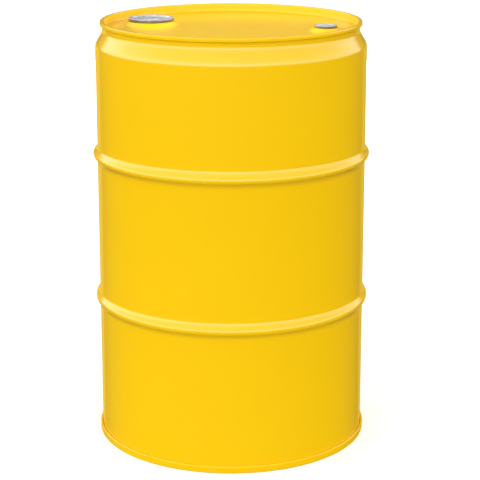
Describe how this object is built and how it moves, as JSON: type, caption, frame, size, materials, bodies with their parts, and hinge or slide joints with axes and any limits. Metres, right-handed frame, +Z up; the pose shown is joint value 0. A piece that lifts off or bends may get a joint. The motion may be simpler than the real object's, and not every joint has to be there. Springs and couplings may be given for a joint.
{
  "type": "steel oil drum",
  "caption": "Closed-head steel drum with rolling hoops, a drawn-in neck, seamed heads and two screwed, capped closures.",
  "frame": {"origin": "middle of the ring that the drum stands on, on the floor", "axes": "+Z up along the drum's axis; -Y is the front; the larger closure is on the -X side of the head and the smaller one on the +X side"},
  "size_m": [0.5914, 0.5914, 0.905],
  "materials": {
    "body_paint": "glossy yellow stoving enamel on steel sheet",
    "head_paint": "glossy yellow stoving enamel on steel sheet",
    "seam_compound": "sealing compound in the folded seam",
    "zinc_steel": "zinc plated pressed steel, bluish grey",
    "gasket_rubber": "moulded black rubber",
    "tinplate": "bright tinplate"
  },
  "bodies": {
    "drum": {"drum_body": "body_paint", "top_head": "head_paint", "bottom_head": "head_paint", "top_seam_compound": "seam_compound", "bottom_seam_compound": "seam_compound", "flange_2in": "zinc_steel", "flange_gasket_2in": "gasket_rubber", "flange_3_4in": "zinc_steel", "flange_gasket_3_4in": "gasket_rubber"},
    "plug_gasket_2in": {"plug_gasket_2in": "gasket_rubber"},
    "plug_2in": {"plug_2in": "zinc_steel"},
    "cap_seal_2in": {"cap_seal_2in": "tinplate"},
    "plug_gasket_3_4in": {"plug_gasket_3_4in": "gasket_rubber"},
    "plug_3_4in": {"plug_3_4in": "zinc_steel"},
    "cap_seal_3_4in": {"cap_seal_3_4in": "tinplate"}
  },
  "joints": [
    {"name": "plug_2in_rise", "type": "slide", "parent": "drum", "child": "plug_gasket_2in", "axis": [0, 0, 1], "range_m": [0, 0.0139]},
    {"name": "plug_2in_turn", "type": "hinge", "parent": "plug_gasket_2in", "child": "plug_2in", "pos_m": [-0.17178, 0.06594, 0.8936], "axis": [0, 0, 1], "range_deg": [0, 2160]},
    {"name": "cap_2in_lift", "type": "slide", "parent": "plug_gasket_2in", "child": "cap_seal_2in", "axis": [0, 0, 1], "range_m": [0, 0.05]},
    {"name": "plug_3_4in_rise", "type": "slide", "parent": "drum", "child": "plug_gasket_3_4in", "axis": [0, 0, 1], "range_m": [0, 0.011]},
    {"name": "plug_3_4in_turn", "type": "hinge", "parent": "plug_gasket_3_4in", "child": "plug_3_4in", "pos_m": [0.19759, -0.042, 0.8936], "axis": [0, 0, 1], "range_deg": [0, 2160]},
    {"name": "cap_3_4in_lift", "type": "slide", "parent": "plug_gasket_3_4in", "child": "cap_seal_3_4in", "axis": [0, 0, 1], "range_m": [0, 0.05]}
  ],
  "couplings": [
    {"joint": "plug_2in_rise", "follows": "plug_2in_turn", "m_per_rad": 0.00036749},
    {"joint": "plug_3_4in_rise", "follows": "plug_3_4in_turn", "m_per_rad": 0.00028871}
  ]
}
